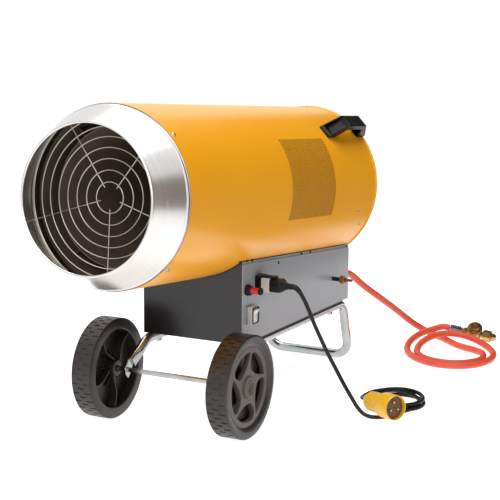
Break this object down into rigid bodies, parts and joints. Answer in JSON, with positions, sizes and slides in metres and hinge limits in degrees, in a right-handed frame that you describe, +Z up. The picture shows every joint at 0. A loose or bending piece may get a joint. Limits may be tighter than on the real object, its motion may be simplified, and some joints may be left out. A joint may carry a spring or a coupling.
{
  "type": "forced air heater",
  "caption": "Portable gas forced air heater: a tilted round casing with a cone outlet on a base box, a wheeled tube trolley, a mains lead with its plug, and a gas hose with a regulator.",
  "frame": {"origin": "on the floor, below the middle of the machine's length and width, cords left out", "axes": "+Z up, the hot air leaves towards -Y, +X towards the control panel"},
  "size_m": [0.5707, 1.2047, 0.6486],
  "materials": {
    "enamel": "glossy yellow enamel",
    "aluminised": "bare aluminised steel sheet",
    "wire": "bright plated wire",
    "heated_steel": "heat-darkened steel",
    "dark_paint": "dark grey powder coat",
    "grey_paint": "satin grey powder coat",
    "zinc": "bright zinc plate",
    "black_plastic": "matt black moulding",
    "wheel_plastic": "matt grey-brown moulding",
    "brass": "turned brass",
    "copper": "bare copper tube",
    "red_plastic": "glossy red moulding",
    "grey_plastic": "pale grey moulding",
    "yellow_plastic": "yellow moulding",
    "brown_plastic": "brown moulding",
    "ceramic": "white glazed ceramic",
    "orange_rubber": "orange rubber hose",
    "black_rubber": "black rubber sheath"
  },
  "bodies": {
    "heater": {"outer_casing": "enamel", "outlet_cone": "aluminised", "outlet_grille": "wire", "combustion_chamber": "heated_steel", "burner_plate": "heated_steel", "burner_head": "heated_steel", "gas_nozzle": "brass", "ignition_electrode": "ceramic", "flame_sensor": "ceramic", "overheat_thermostat": "black_plastic", "fan_motor": "dark_paint", "motor_mount": "zinc", "rear_guard": "wire", "handle_right": "black_plastic", "handle_left": "black_plastic", "base_tray": "dark_paint", "control_panel": "grey_paint", "side_panel": "grey_paint", "mounting_strip_right": "zinc", "mounting_strip_left": "zinc", "terminal_block": "grey_plastic", "igniter_body": "black_plastic", "rocker_housing": "grey_plastic", "inlet_housing": "black_plastic", "inlet_shell": "grey_plastic", "gas_valve": "brass", "valve_nut": "brass", "gas_inlet": "brass", "inlet_pipe": "copper", "burner_pipe": "copper", "base_frame": "zinc", "frame_bolt_1": "zinc", "frame_bolt_2": "zinc", "frame_bolt_3": "zinc", "frame_bolt_4": "zinc", "axle": "zinc", "connector_hood": "black_plastic", "power_cord": "black_rubber", "power_cord_coil": "black_rubber", "plug_gland": "grey_plastic", "plug_body": "yellow_plastic", "plug_insert": "brown_plastic", "hose_nut": "brass", "gas_hose": "orange_rubber", "gas_hose_coil": "orange_rubber", "hose_ferrule": "zinc", "regulator_body": "brass", "regulator_cap": "brass"},
    "wheel_right": {"wheel_right": "wheel_plastic", "hub_cap_right": "wheel_plastic"},
    "wheel_left": {"wheel_left": "wheel_plastic", "hub_cap_left": "wheel_plastic"},
    "fan_rotor": {"fan": "aluminised", "motor_shaft": "zinc"},
    "igniter_button": {"igniter_button": "red_plastic"},
    "rocker": {"rocker": "grey_plastic"},
    "inlet_latch": {"inlet_latch": "black_plastic"},
    "valve_push_rod": {"valve_push_rod": "red_plastic"},
    "bottle_nut": {"bottle_nut": "brass"}
  },
  "joints": [
    {"name": "wheel_right_spin", "type": "hinge", "parent": "heater", "child": "wheel_right", "pos_m": [0.17, -0.1568, 0.1], "axis": [1, 0, 0], "continuous": true},
    {"name": "wheel_left_spin", "type": "hinge", "parent": "heater", "child": "wheel_left", "pos_m": [-0.17, -0.1568, 0.1], "axis": [1, 0, 0], "continuous": true},
    {"name": "fan_spin", "type": "hinge", "parent": "heater", "child": "fan_rotor", "pos_m": [0, 0.32746, 0.40943], "axis": [0, 0.9947, -0.1028], "continuous": true},
    {"name": "igniter_press", "type": "slide", "parent": "heater", "child": "igniter_button", "axis": [-1, 0, 0], "range_m": [0, 0.005], "stiffness_N_per_m": 400, "springref_m": -0.001},
    {"name": "rocker_tilt", "type": "hinge", "parent": "heater", "child": "rocker", "pos_m": [0.1155, -0.0459, 0.2114], "axis": [0, -0.9998, 0.0174], "range_deg": [0, 20]},
    {"name": "inlet_latch_lift", "type": "hinge", "parent": "heater", "child": "inlet_latch", "pos_m": [0.1272, -0.0126, 0.2837], "axis": [0, -0.9998, 0.0174], "range_deg": [0, 80]},
    {"name": "valve_press", "type": "slide", "parent": "heater", "child": "valve_push_rod", "axis": [-1, 0, 0], "range_m": [0, 0.005], "stiffness_N_per_m": 600, "springref_m": -0.001},
    {"name": "bottle_nut_turn", "type": "hinge", "parent": "heater", "child": "bottle_nut", "pos_m": [0.3413, 0.7276, 0.0176], "axis": [0.9935, 0.03, -0.1101], "continuous": true}
  ]
}
